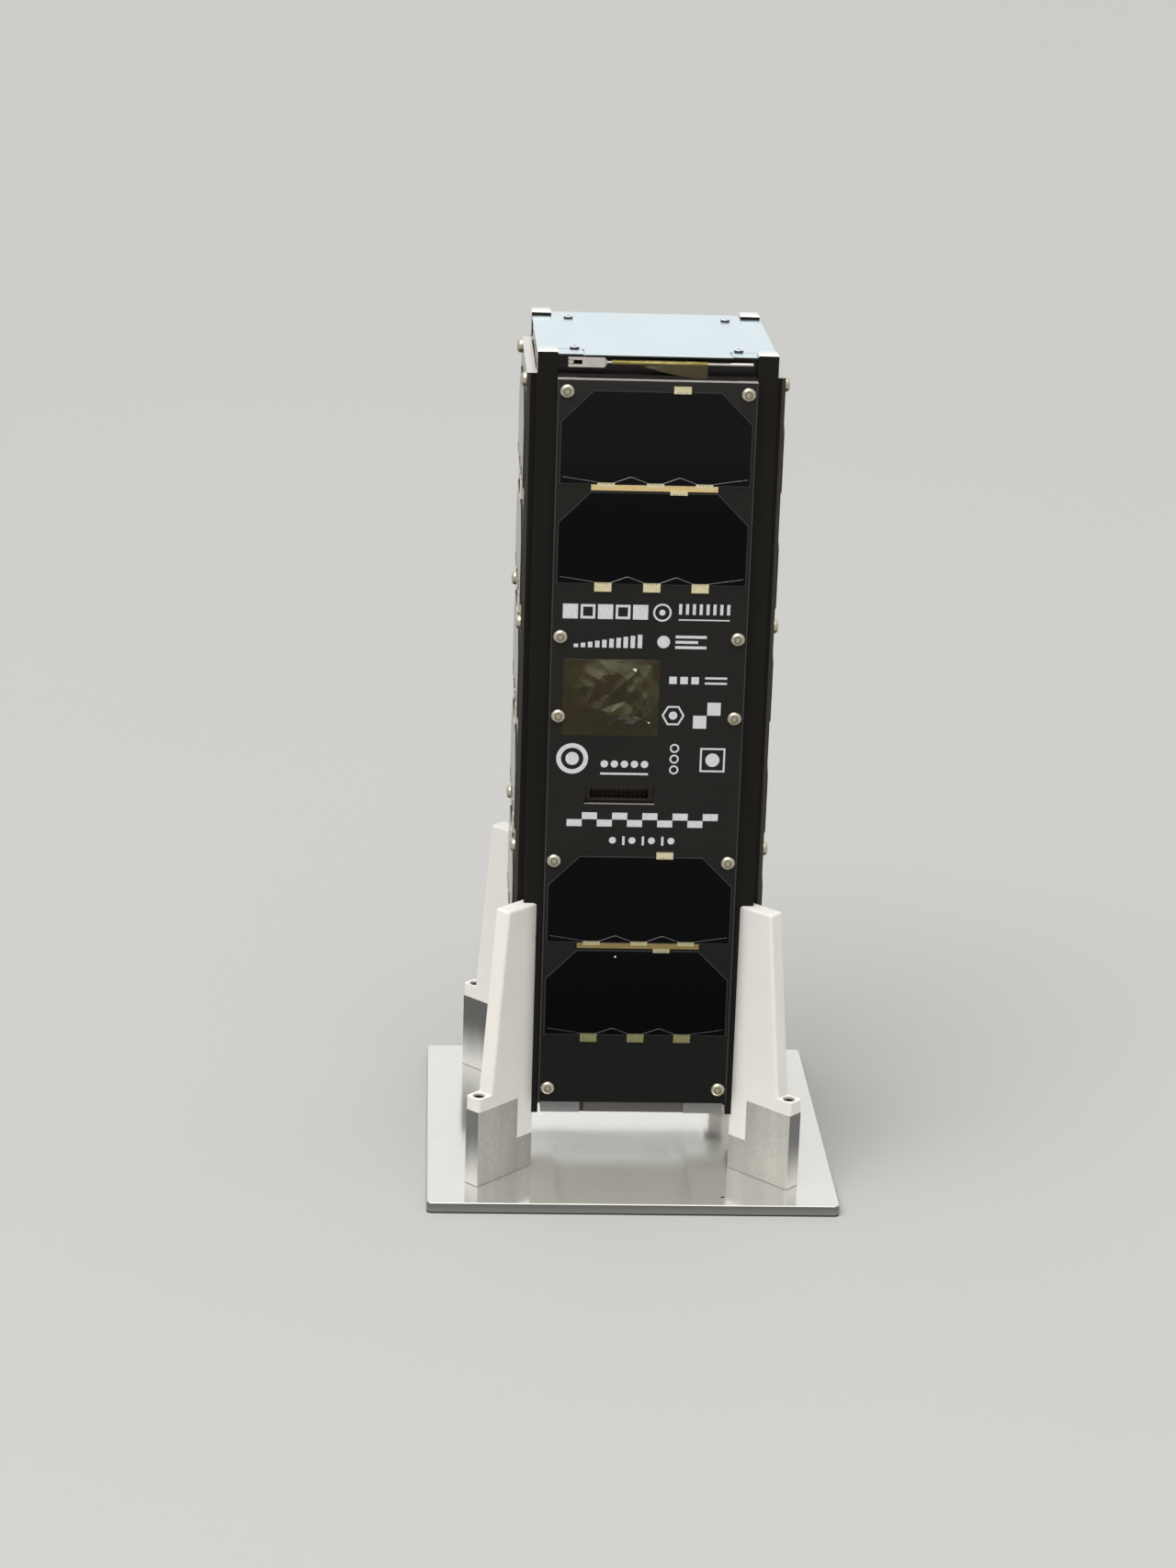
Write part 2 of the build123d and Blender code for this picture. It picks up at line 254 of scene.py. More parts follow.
class Shader:
    """A node tree, and the few kinds of node that the finishes below are written in."""

    def __init__(self, tree):
        self.tree = tree

    def node(self, kind, settings=None, values=None, output=0):
        """Adds a node, its settings first and then the values or links of its sockets."""
        node = self.tree.nodes.new("ShaderNode" + kind)
        for name, value in (settings or {}).items():
            setattr(node, name, value)
        for name, value in (values or {}).items():
            self.feed(node.inputs[name], value)
        return Socket(self, node.outputs[output])

    def feed(self, target, value):
        """Links a socket or sets a plain value."""
        if isinstance(value, Socket):
            self.tree.links.new(value.socket, target)
        elif isinstance(value, tuple) and len(value) == 3 and target.type == "RGBA":
            target.default_value = (*value, 1.0)
        else:
            target.default_value = value

    def mix(self, factor, first, second):
        """A colour between two colours."""
        return self.node("Mix", {"data_type": "RGBA"}, {0: factor, 6: first, 7: second}, 2)

    def place(self, output="Object"):
        """A texture coordinate as one vector: the place on the piece at rest, unless another is named."""
        return self.node("TexCoord", output=output)

    def axes(self, vector):
        """The three numbers of a vector."""
        split = self.node("SeparateXYZ", values={"Vector": vector})
        return [Socket(self, output) for output in split.socket.node.outputs]

    def at(self):
        """Where a point lies on the piece at rest: across, away from the front and up."""
        return self.axes(self.place())

    def facing(self):
        """Which way the surface faces at a point: across, away from the front and up."""
        return self.axes(self.place("Normal"))

    def grain(self, size, stretch=(1, 1, 1), detail=2.0):
        """Soft noise from 0 to 1, with features of about a size in metres that a stretch makes longer."""
        scale = tuple(1 / (size * s) for s in stretch)
        vector = self.node("VectorMath", {"operation": "MULTIPLY"}, {0: self.place(), 1: scale})
        return self.node("TexNoise", values={"Vector": vector, "Scale": 1.0, "Detail": detail})

    def bump(self, height, strength, distance, under=None):
        """A bump from a height, over another bump if one is given."""
        values = {"Strength": strength, "Distance": distance, "Height": height}
        if under is not None:
            values["Normal"] = under
        return self.node("Bump", values=values)

    def outer(self, level):
        """1 where a point lies further out from the satellite's axis than a level, square to a face."""
        x, y, _ = self.at()
        return abs(x).larger(abs(y)) > level


def finish(name, make, **plain):
    """A material: make gives the sockets that vary over the surface, and plain names the even ones."""
    material = bpy.data.materials.new(name)
    material.use_nodes = True
    shader = Shader(material.node_tree)
    surface = material.node_tree.nodes["Principled BSDF"]
    for key, value in plain.items():
        shader.feed(surface.inputs[key.replace("_", " ")], value)
    for key, value in make(shader).items():
        shader.feed(surface.inputs[key], value)
    return material


# The finishes. Each is a function of a Shader, s, that gives the sockets which vary over the surface.
def lit_ledge(s):
    """Painted light on upward edges: a panel's upper end and the slot's lip."""
    x, y, height = s.at()
    # Painted highlight on a panel's upper end, brighter at left and right as a painted reflection.
    top = s.mix(abs(x) > abs(y), (0.44, 0.425, 0.40), (0.72, 0.70, 0.67))
    # Painted highlight on the slot's lip, with painted shade deeper in the slot.
    lip = s.mix(s.outer(BOARD_FACE - 1.7 * MM), (0.020, 0.017, 0.015), (0.40, 0.385, 0.37))
    return s.mix(height.ramp(BOARD_TOP - 2 * MM, BOARD_TOP - 1 * MM), lip, top)


def brushed_plate(s):
    """Brushed along X on top, painted brighter below the satellite as a painted reflection; the milled sides
    are greyer and darker towards the top, the edges dull, and a painted contact shadow runs along its bottom
    edge.
    """
    x, _, height = s.at()
    _, _, up = s.facing()
    side = abs(up) < 0.2
    slant = (abs(up) < 0.97) - side
    streak = s.grain(0.35 * MM, (90, 1, 1))
    cloud = s.grain(45 * MM, detail=4.0)
    fleck = s.grain(2.5 * MM, (2, 1, 1), 4.0)
    wear = streak * 0.35 + cloud * 0.35 + fleck * 0.3
    # Painted reflection: the plate is painted brighter below the satellite than further out.
    lit_under_body = s.mix(wear, (0.86, 0.855, 0.82), (0.99, 0.99, 0.97))
    outer_top = s.mix(wear, (0.70, 0.695, 0.66), (0.87, 0.87, 0.85))
    top = s.mix(abs(x).ramp(46 * MM, 56 * MM), lit_under_body, outer_top)
    sides = s.mix(height.ramp(1 * MM, BASE_TOP), (0.28, 0.285, 0.27), (0.18, 0.183, 0.172))
    metal = s.mix(side, s.mix(slant, top, (0.42, 0.415, 0.39)), sides)
    return {
        # Painted contact shadow along the lowest 0.7 mm of the plate.
        "Base Color": s.mix(height < 0.7 * MM, metal, (0.04, 0.04, 0.04)),
        "Roughness": 0.09 + cloud * 0.06 + side * 0.2 + slant * 0.3,
        "Normal": s.bump(s.grain(0.4 * MM, (1, 1, 40)), 0.10, 0.02 * MM, s.bump(streak, 0.12, 0.02 * MM)),
    }


def milled_post(s):
    """Milled aluminium with painted shade, darker inwards and on the left posts; the faces turned outward
    carry a painted reflection, dark above, darker on the front posts and light below, and a thin painted
    contact shadow runs round each post's foot.
    """
    x, away, height = s.at()
    side, _, _ = s.facing()
    outward = side * x > 0.01
    mill = s.grain(0.5 * MM, (1, 1, 30))
    band = s.grain(5.0 * MM, (1, 1, 9), 2.0)
    mottle = s.grain(1.6 * MM, detail=5.0)
    patch = band * 0.4 + mottle * 0.6
    # Painted shade: the left posts are a darker copy of the right ones, and both darken inwards.
    right = s.mix(patch, (0.42, 0.40, 0.362), (0.80, 0.775, 0.72))
    left = s.mix(patch, (0.345, 0.33, 0.298), (0.73, 0.705, 0.65))
    inward = 1 - abs(x).ramp(47 * MM, 64 * MM)
    plain = s.mix(inward * 0.2, s.mix(x > 0, left, right), (0, 0, 0))
    # Painted reflection on the faces turned outward: dark above, darker on the front posts, light at the foot.
    dark = s.mix(away < 0, (0.145, 0.15, 0.143), (0.21, 0.21, 0.197))
    rise = height + (band - 0.5) * 8 * MM + (mottle - 0.5) * 3 * MM
    ends = s.mix(rise.ramp(BASE_TOP - 1 * MM, BASE_TOP + 25 * MM), (0.80, 0.79, 0.76), dark)
    # Painted contact shadow where each post meets the plate.
    contact_shadow = height < BASE_TOP + 0.3 * MM
    return {
        "Base Color": s.mix(contact_shadow, s.mix(outward, plain, ends), (0.30, 0.285, 0.26)),
        "Roughness": 0.34 + mottle * 0.2,
        "Normal": s.bump(mill, 0.12, 0.02 * MM),
    }


LAYER = 0.2 * MM


def white_plastic(s):
    """Off-white plastic with a faint mottle and very fine build lines, one to a layer."""
    _, _, height = s.at()
    lines = abs(height % LAYER - LAYER / 2) * (2 / LAYER)
    cloud = s.grain(14 * MM, detail=3.0)
    return {
        "Base Color": s.mix(cloud, (0.86, 0.825, 0.765), (0.91, 0.885, 0.835)),
        "Roughness": 0.48 + cloud * 0.12,
        "Normal": s.bump(s.grain(0.6 * MM), 0.10, 0.03 * MM, s.bump(lines, 0.12, 0.01 * MM)),
    }


def black_anodised(s):
    """Black anodised aluminium, painted a lighter brown in the slot as painted light there; faces that turn up
    below the lid take the painted light of the ledges, and the cut ends above it are uncoated pale metal.
    """
    side, _, up = s.facing()
    x, _, height = s.at()
    end = height.ramp(DECK_TOP, DECK_TOP + 1.0 * MM)
    # Upward faces below the lid get the ledges' painted light; the cut ends above it are uncoated metal.
    lit_top_and_bare_end = (up + end * 0.4).ramp(0.8, 0.95)
    fine = s.grain(0.25 * MM, detail=3.0)
    cloud = s.grain(22 * MM, (1, 1, 4), 3.0)
    # Painted light: the walls in the slot are painted brown, lighter than the black, to stand in for light
    # deep in the slot.
    slot = (abs(x) < 30 * MM) * (abs(height - RAIL_FOOT - SLOT_UP * MM) < 5 * MM)
    black = s.mix(cloud, (0.0075, 0.0065, 0.0052), (0.0135, 0.0115, 0.0092))
    pale = s.mix(end, lit_ledge(s), (0.92, 0.93, 0.92))
    return {
        "Base Color": s.mix(lit_top_and_bare_end, s.mix(slot, black, (0.075, 0.058, 0.048)), pale),
        "Metallic": lit_top_and_bare_end * end,
        "Coat Weight": (abs(side) > 0.9) * (height > BOARD_TOP),
        "Roughness": 0.24 + cloud * 0.10,
        "Normal": s.bump(fine, 0.10, 0.015 * MM),
    }


def circuit_board(s):
    """Black solder mask over faint tracks, with painted shade low down, paler near the top and a painted
    highlight along its left and right edges; the cut edges show laminate, with painted light on those that
    face up.
    """
    x, y, height = s.at()
    _, _, up = s.facing()
    outside = s.outer(BOARD_FACE - 0.05 * MM)
    cut = 1 - outside
    tracks = s.grain(1.1 * MM, (1, 1, 26), 1.0).ramp(0.56, 0.60)
    cloud = s.grain(30 * MM, detail=3.0)
    even = s.mix(cloud, (0.0110, 0.0104, 0.0089), (0.0160, 0.0152, 0.0132))
    # Painted shade low down on the mask.
    lower = s.mix(height.ramp(50 * MM, 180 * MM), (0.0052, 0.0064, 0.0048), even)
    mask = s.mix(height.ramp(330 * MM, 366 * MM), lower, (0.024, 0.0225, 0.0205))
    across = abs(x).smaller(abs(y))
    # Painted highlight along the board's left and right edges.
    border = (across > BOARD_HALF - 0.45 * MM) * outside
    face = s.mix(border, mask, (0.052, 0.049, 0.045))
    # Upward cut edges take the ledges' painted light.
    edge = s.mix(up.ramp(0.7, 0.95), (0.070, 0.062, 0.048), lit_ledge(s))
    return {
        "Base Color": s.mix(cut, face, edge),
        "Roughness": 0.11 + cloud * 0.05 + cut * 0.4,
        "Normal": s.bump(tracks, 0.10, 0.02 * MM),
    }


FINGER_PITCH = 1.25 * MM
FINGER_WIDTH = 0.07 * MM


def solar_cell(s):
    """Near-black cell glass over hair-fine fingers, lightened high up by a painted reflection and a faint
    mottle, with a grey rim on the lower step.
    """
    x, y, height = s.at()
    glass = s.outer(CELL_FACE - 0.05 * MM)
    finger = (abs(x).smaller(abs(y)) % FINGER_PITCH) < FINGER_WIDTH
    cloud = s.grain(24 * MM, detail=3.0)
    # Painted reflection: the glass lightens high up, over a faint random mottle.
    sheen_and_mottle = height.ramp(80 * MM, 125 * MM) * 0.25 + height.ramp(300 * MM, 335 * MM) * 0.65 + cloud * 0.1
    dark = s.mix(sheen_and_mottle, (0.0002, 0.0002, 0.0003), (0.0090, 0.0081, 0.0086))
    lined = s.mix(finger, dark, (0.007, 0.007, 0.008))
    return {
        "Base Color": s.mix(glass, (0.046, 0.046, 0.046), lined),
        "Roughness": 0.34 - glass * 0.24 + cloud * 0.03,
    }


def gold_contact(s):
    """Gold-plated bars and the paler tin-plated tabs over them, olive low down as a painted reflection, with
    rims and upward faces painted pale as a painted highlight.
    """
    tabs = s.outer(TAB_FACE - 0.1 * MM)
    x, y, height = s.at()
    side, away, up = s.facing()
    # Painted highlight: rims that face sideways are painted pale and less metallic.
    edge = (abs(x * side + y * away) < 40 * MM) * (abs(up) < 0.5)
    cloud = s.grain(1.6 * MM, detail=4.0)
    bar = s.mix(cloud, (0.84, 0.60, 0.24), (1.0, 0.78, 0.42))
    tab = s.mix(cloud, (0.78, 0.68, 0.38), (1.0, 0.92, 0.66))
    # Painted reflection: olive copies of the bar and tab colours, used low down.
    low_bar_reflection = s.mix(cloud, (0.28, 0.215, 0.08), (0.40, 0.31, 0.14))
    low_tab_reflection = s.mix(cloud, (0.19, 0.185, 0.075), (0.34, 0.33, 0.17))
    bars = s.mix(height.ramp(110 * MM, 290 * MM), low_bar_reflection, bar)
    tins = s.mix(height.ramp(55 * MM, 165 * MM), low_tab_reflection, tab)
    return {
        "Base Color": s.mix(up.ramp(0.6, 0.9).larger(edge), s.mix(tabs, bars, tins), (0.95, 0.90, 0.80)),
        "Metallic": 1 - edge * 0.9,
        "Roughness": 0.30 + cloud * 0.18,
        "Normal": s.bump(cloud, 0.20, 0.05 * MM),
    }


def deck_film(s):
    """Silvered film on the lid, tinted pale blue as a painted reflection, with soft waves; its cut sides are
    dark.
    """
    _, _, up = s.facing()
    wave = s.grain(38 * MM, (1, 1.6, 1), 2.0)
    fine = s.grain(1.5 * MM, detail=3.0)
    # Painted reflection: the pale blue tint of the film.
    film = s.mix(wave, (0.64, 0.79, 0.86), (0.75, 0.89, 0.94))
    return {
        "Base Color": s.mix(up.ramp(0.3, 0.6), (0.045, 0.045, 0.045), film),
        "Roughness": 0.20 + fine * 0.05,
        "Normal": s.bump(wave, 0.08, 0.4 * MM),
    }


def dark_mask(s):
    """Brown-black board and housing, painted pale along the top of its left and right rims as a painted
    reflection.
    """
    x, y, _ = s.at()
    _, _, up = s.facing()
    cloud = s.grain(8 * MM, detail=4.0)
    dark = s.mix(cloud, (0.011, 0.008, 0.0075), (0.021, 0.016, 0.015))
    # Painted reflection: the tops of the left and right rims are painted pale.
    side_glare = up.ramp(0.8, 0.95) * (abs(x) > abs(y) + 5 * MM)
    return {
        "Base Color": s.mix(side_glare, dark, (0.85, 0.83, 0.75)),
        "Roughness": 0.20 + cloud * 0.12,
        "Normal": s.bump(s.grain(0.3 * MM), 0.06, 0.02 * MM),
    }


def socket_brown(s):
    """Brown housing seen deep in the slot, painted lighter than its own brown as painted light there."""
    cloud = s.grain(5 * MM, detail=3.0)
    return {
        # Painted light: lighter than the housing's own brown.
        "Base Color": s.mix(cloud, (0.042, 0.031, 0.025), (0.066, 0.050, 0.042)),
        "Roughness": 0.35 + cloud * 0.15,
        "Normal": s.bump(s.grain(0.3 * MM), 0.06, 0.02 * MM),
    }


def foot_metal(s):
    """Grey coated aluminium, browner in the recesses and near black deeper in as painted shade; uncoated
    below, painted bright towards the rear as painted light, and shinier there.
    """
    _, away, _ = s.at()
    _, _, up = s.facing()
    recess = 1 - s.outer(BODY_HALF - 0.3 * MM)
    under = (-1 * up).ramp(0.6, 0.9).larger(1 - s.outer(BODY_HALF - 9 * MM))
    shiny_rear = under * away.ramp(12 * MM, 34 * MM)
    # Painted light: the underside is painted dim at the front and bright towards the rear.
    below = s.mix(away.ramp(12 * MM, 24 * MM), (0.50, 0.48, 0.42), (0.94, 0.96, 0.97))
    # Painted shade: the deepest parts of the recesses are near black.
    groove = 1 - s.outer(BODY_HALF - 0.9 * MM)
    sunk = s.mix(groove, (0.125, 0.110, 0.100), (0.008, 0.007, 0.006))
    cloud = s.grain(10 * MM, detail=4.0)
    plain = s.mix(cloud, (0.21, 0.22, 0.215), (0.29, 0.30, 0.29))
    return {
        "Base Color": s.mix(under, s.mix(recess, plain, sunk), below),
        "Metallic": under * 0.1 + shiny_rear * 0.85,
        "Roughness": 0.42 + cloud * 0.2 - shiny_rear * 0.3,
        "Normal": s.bump(s.grain(0.5 * MM, (8, 8, 1)), 0.12, 0.02 * MM),
    }


def brushed_silver(s):
    """Drawn and lightly brushed nickel silver."""
    streak = s.grain(0.12 * MM, (60, 60, 1))
    cloud = s.grain(5 * MM, detail=3.0)
    return {
        "Base Color": s.mix(cloud, (0.62, 0.57, 0.53), (0.80, 0.76, 0.71)),
        "Roughness": 0.26 + streak * 0.14,
        "Normal": s.bump(streak, 0.08, 0.01 * MM),
    }


def screw_nickel(s):
    """Worn, slightly yellow nickel plate, with painted shade on the faces that turn down: its lower rim and
    the socket walls that face down.
    """
    _, _, up = s.facing()
    cloud = s.grain(0.9 * MM, detail=4.0)
    worn = s.mix(cloud, (0.44, 0.41, 0.31), (0.66, 0.62, 0.50))
    # Painted shade on faces that turn down.
    return {
        "Base Color": s.mix((-1 * up).ramp(0.05, 0.6), worn, (0.07, 0.06, 0.045)),
        "Roughness": 0.22 + cloud * 0.22,
        "Normal": s.bump(cloud, 0.15, 0.05 * MM),
    }


def screw_socket_shade(s):
    """A dark nickel ring round each socket: painted shade for the socket's chamfer and the shadow round it."""
    cloud = s.grain(0.9 * MM, detail=3.0)
    return {
        "Base Color": s.mix(cloud, (0.15, 0.135, 0.10), (0.25, 0.23, 0.18)),
        "Roughness": 0.35 + cloud * 0.2,
    }


def screw_silver(s):
    """Bright steel on top, with painted shade, dark and slightly purple, on its upright side."""
    _, _, up = s.facing()
    cloud = s.grain(0.9 * MM, detail=3.0)
    return {
        # Painted shade on the upright side.
        "Base Color": s.mix(up.ramp(0.3, 0.7), (0.075, 0.068, 0.080), (0.80, 0.82, 0.84)),
        "Roughness": 0.26 + cloud * 0.15,
    }


def screw_black(s):
    """Dark red-brown steel."""
    cloud = s.grain(0.8 * MM, detail=4.0)
    return {
        "Base Color": s.mix(cloud, (0.030, 0.006, 0.005), (0.060, 0.014, 0.012)),
        "Roughness": 0.35 + cloud * 0.2,
    }


def amber_film(s):
    """Thin amber film, dark where it lies flat, with painted light: olive on facets that turn up or sideways,
    and a painted glint where a facet turns steeply up.
    """
    side, _, up = s.facing()
    cloud = s.grain(6 * MM, detail=4.0)
    flat = s.mix(cloud, (0.023, 0.0178, 0.0075), (0.043, 0.0335, 0.0150))
    # Painted light: the colour of facets that turn up or sideways.
    lit_facet = s.mix(cloud, (0.045, 0.041, 0.020), (0.118, 0.108, 0.066))
    tilt = up.ramp(-0.02, 0.42).larger(abs(side).ramp(0.20, 0.60) * 0.6)
    return {
        # Painted glint where a facet turns steeply up.
        "Base Color": s.mix(up.ramp(0.62, 0.70), s.mix(tilt, flat, lit_facet), (0.85, 0.80, 0.55)),
        "Roughness": 0.16 + cloud * 0.14,
        "Normal": s.bump(s.grain(2.2 * MM, detail=3.0), 0.25, 0.2 * MM),
    }


def amber_tail(s):
    """The loose end of the film, olive and see-through."""
    cloud = s.grain(4 * MM, detail=3.0)
    return {
        "Base Color": s.mix(cloud, (0.050, 0.037, 0.014), (0.092, 0.071, 0.032)),
        "Roughness": 0.14 + cloud * 0.1,
    }


def wrapped_film(s):
    """The same film wound over bright metal, where it looks golden, with painted shade on its lower side."""
    _, _, up = s.facing()
    turns = s.grain(2.4 * MM, (3, 3, 1), 3.0)
    bright = s.mix(turns.ramp(0.35, 0.7), (0.36, 0.29, 0.060), (0.66, 0.56, 0.19))
    return {
        # Painted shade on the sleeve's lower side.
        "Base Color": s.mix(up.ramp(-0.35, 0.25), (0.17, 0.135, 0.022), bright),
        "Roughness": 0.20 + turns * 0.14,
        "Normal": s.bump(turns, 0.20, 0.2 * MM),
    }


def printed_ink(s):
    """Matt white ink with slightly uneven cover."""
    cloud = s.grain(1.2 * MM, detail=4.0)
    return {
        "Base Color": s.mix(cloud.ramp(0.2, 0.6), (0.56, 0.57, 0.58), (0.70, 0.71, 0.72)),
        "Roughness": 0.50 + cloud * 0.15,
    }


def bus_metal(s):
    """Dull grey metal of the bus wires, darker low down."""
    _, _, height = s.at()
    cloud = s.grain(2.0 * MM, detail=2.0)
    light = s.mix(cloud, (0.17, 0.165, 0.165), (0.27, 0.265, 0.265))
    return {
        "Base Color": s.mix(height.ramp(60 * MM, 200 * MM), (0.085, 0.085, 0.085), light),
        "Roughness": 0.35 + cloud * 0.1,
    }


def pin_metal(s):
    """Dull brown metal of the contacts deep in the socket."""
    cloud = s.grain(1.0 * MM, detail=2.0)
    return {
        "Base Color": s.mix(cloud, (0.070, 0.048, 0.026), (0.110, 0.078, 0.045)),
        "Roughness": 0.4 + cloud * 0.1,
    }


def pale_floor(s):
    """A matt, pale grey floor with a faint mottle."""
    cloud = s.grain(0.8, detail=2.0)
    return {
        "Base Color": s.mix(cloud, (0.520, 0.517, 0.505), (0.545, 0.542, 0.530)),
        "Roughness": 0.75 + cloud * 0.1,
    }


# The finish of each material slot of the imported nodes, and then those of the scene's own pieces
SLOT_LOOKS = {
    "base_aluminium": (brushed_plate, {"Metallic": 0.8}),
    "post_aluminium": (milled_post, {"Metallic": 0.6}),
    "white_plastic": (white_plastic, {"Specular_IOR_Level": 0.4}),
    "black_anodised": (black_anodised, {"Specular_IOR_Level": 0.12, "Coat_Roughness": 0.05}),
    "black_board": (circuit_board, {"Specular_IOR_Level": 0.16}),
    "solar_cell": (solar_cell, {"Specular_IOR_Level": 0.05}),
    "gold_contact": (gold_contact, {}),
    "deck_film": (deck_film, {"Metallic": 1.0}),
    "bay_board": (dark_mask, {"Specular_IOR_Level": 0.3}),
    "foot_metal": (foot_metal, {"Specular_IOR_Level": 0.5}),
    "stack_dark": (socket_brown, {"Specular_IOR_Level": 0.25}),
    "connector_dark": (socket_brown, {"Specular_IOR_Level": 0.2}),
    "antenna_silver": (brushed_silver, {"Metallic": 1.0}),
    "hinge_steel": (brushed_silver, {"Metallic": 1.0}),
}
SLOT_FINISHES = {slot: finish(slot, make, **plain) for slot, (make, plain) in SLOT_LOOKS.items()}
SCREW_NICKEL = finish("screw_nickel", screw_nickel, Metallic=1.0)
SCREW_SOCKET_SHADE = finish("screw_socket_shade", screw_socket_shade, Metallic=0.9)
SCREW_BLACK = finish("screw_black", screw_black, Metallic=0.6)
SCREW_SILVER = finish("screw_silver", screw_silver, Metallic=0.8)
AMBER_FILM = finish("amber_film", amber_film, Specular_IOR_Level=0.12, Coat_Weight=0.06, Coat_Roughness=0.06)
AMBER_TAIL = finish("amber_tail", amber_tail, Alpha=0.75, Specular_IOR_Level=0.3)
WRAPPED_FILM = finish("wrapped_film", wrapped_film, Metallic=0.35, Coat_Weight=0.4, Coat_Roughness=0.1)
PRINTED_INK = finish("printed_ink", printed_ink, Specular_IOR_Level=0.3)
BUS_METAL = finish("bus_metal", bus_metal, Metallic=1.0)
PIN_METAL = finish("pin_metal", pin_metal, Metallic=0.5)
PALE_FLOOR = finish("pale_floor", pale_floor, Specular_IOR_Level=0.15)


def dress_frame():
    """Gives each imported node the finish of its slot."""
    for part in frame["record"]["subparts"]:
        node = frame["nodes"][part["node"]]
        node.data.materials.clear()
        node.data.materials.append(SLOT_FINISHES[part["material_slot"]])


# Screws, in millimetres. A head is a radius, a height and the radius of its flat top, and a socket is a size
# over flats and a depth. A domed head is upright for a share of its height. A dark ring, painted shade for the
# socket's chamfer and the shadow round it, lies on its flat top.
SIDES = 36
SUNK = 0.05
DOME_STEPS = 6
DOME_FOOT = 0.2
CHAMFER = 0.25
PANEL_HEAD = (3.15, 1.95, 1.6)
PANEL_SOCKET = (2.15, 1.2)
RING_R = 1.65
RING_LOW = 1.93
RING_HIGH = 1.98
DECK_HEAD = (2.0, 1.0, 1.0)
DECK_SOCKET = (1.5, 0.7)
DECK_SCREW_X = 34.3
DECK_SCREW_Y = 35.5


def add_screw(form, matrix, outline, socket):
    """A screw's head, turned from an outline of radii and heights, with a hexagonal socket."""
    flats, depth = socket
    rows = [form.row(circle(radius * MM, SIDES), height * MM, matrix) for radius, height in outline]
    top = outline[-1][1]
    for height in (top, top - depth):
        rows.append(form.row(hexagon(flats * MM, SIDES), height * MM, matrix))
    form.stack(rows)


def domed_head(radius, height, flat):
    """The outline of a domed head, from its foot to the flat round its socket."""
    rise = height * DOME_FOOT
    outline = [(radius, -SUNK), (radius, rise)]
    for i in range(1, DOME_STEPS + 1):
        angle = math.pi / 2 * i / DOME_STEPS
        outline.append((flat + (radius - flat) * math.cos(angle), rise + (height - rise) * math.sin(angle)))
    return outline


def cap_head(radius, height, flat):
    """The outline of an upright head with a small chamfer."""
    return [(radius, -SUNK), (radius, height - CHAMFER), (radius - CHAMFER, height), (flat, height)]


def add_panel_screws():
    """The domed screws that hold each panel, each turned its own way, with a dark ring of painted shade round
    each socket.
    """
    for name, turn in FACES:
        form, shade_rings = Form(), Form()
        for x in (-SCREW_ACROSS, SCREW_ACROSS):
            for z in FRONT_SCREWS if name == "front" else OTHER_SCREWS:
                spin = turned((7 * z + 3 * x) % 60)
                place = on_face(turn, x, z) @ spin
                add_screw(form, place, domed_head(*PANEL_HEAD), PANEL_SOCKET)
                inner = hexagon(PANEL_SOCKET[0] * MM, SIDES)
                # A dark ring of painted shade round each socket.
                shade_rings.hoop(circle(RING_R * MM, SIDES), inner, RING_LOW * MM, RING_HIGH * MM, place)
        form.piece(f"panel_screws_{name}", SCREW_NICKEL, "root", "antenna_silver")
        shade_rings.piece(f"socket_shade_rings_{name}", SCREW_SOCKET_SHADE, "root", "antenna_silver")


def add_deck_screws():
    """Four small screws in the lid."""
    form = Form()
    for x in (-DECK_SCREW_X, DECK_SCREW_X):
        for y in (-DECK_SCREW_Y, DECK_SCREW_Y):
            place = Matrix.Translation((x * MM, y * MM, DECK_TOP))
            add_screw(form, place, cap_head(*DECK_HEAD), DECK_SOCKET)
    form.piece("deck_screws", SCREW_SILVER, "root", "antenna_silver")


# The stand's screws, in millimetres: how far out they stand along the diagonals, and their counterbores. Those
# in the guides' ears are measured down from an ear's top, and those below the plate up from its underside.
EAR_THICK = 6.0
EAR_BORE_DEPTH = 4.3
EAR_SCREW_OUT = 95.9
EAR_HEAD = (2.6, 3.5, 1.5)
EAR_SOCKET = (2.4, 2.0)
BASE_BORE_DEPTH = 3.0
BASE_SCREW_OUT = 87.0
BASE_HEAD = (2.75, 2.8, 1.7)
BASE_SOCKET = (2.5, 1.5)


def add_stand_screws():
    """The screws down through the guides' ears and up through the plate."""
    ears, under = Form(), Form()
    flip = Matrix.Rotation(math.pi, 4, "X")
    seat = POST_TOP + (EAR_THICK - EAR_BORE_DEPTH) * MM
    for _, turn in CORNERS:
        ear = turned(turn) @ Matrix.Translation((EAR_SCREW_OUT * MM, 0, seat))
        add_screw(ears, ear, cap_head(*EAR_HEAD), EAR_SOCKET)
        below = turned(turn) @ Matrix.Translation((BASE_SCREW_OUT * MM, 0, BASE_BORE_DEPTH * MM)) @ flip
        add_screw(under, below, cap_head(*BASE_HEAD), BASE_SOCKET)
    ears.piece("guide_screws", SCREW_BLACK, "root", "antenna_silver")
    under.piece("base_screws", SCREW_BLACK, "root", "antenna_silver")


# Bus wires, in millimetres: across a cell and above its lower edge. Each laps over the tabs at its ends.
WIRE_R = 0.17
WIRE_TAIL_R = 0.10
WIRE_LIFT = 0.6
WIRE_LAP = 0.4
WIRE_RISE = 0.9
WIRE_PEAK = 3.4
WIRE_CREST = ((-2.0, 0.62), (-1.0, 0.17), (0.0, 0.0), (1.0, 0.17), (2.0, 0.62))
LEFT_TAIL = [(-38.6, 3.2), (-26.3, 1.4)]
RIGHT_TAIL = [(27.6, 1.5), (38.6, 3.2)]


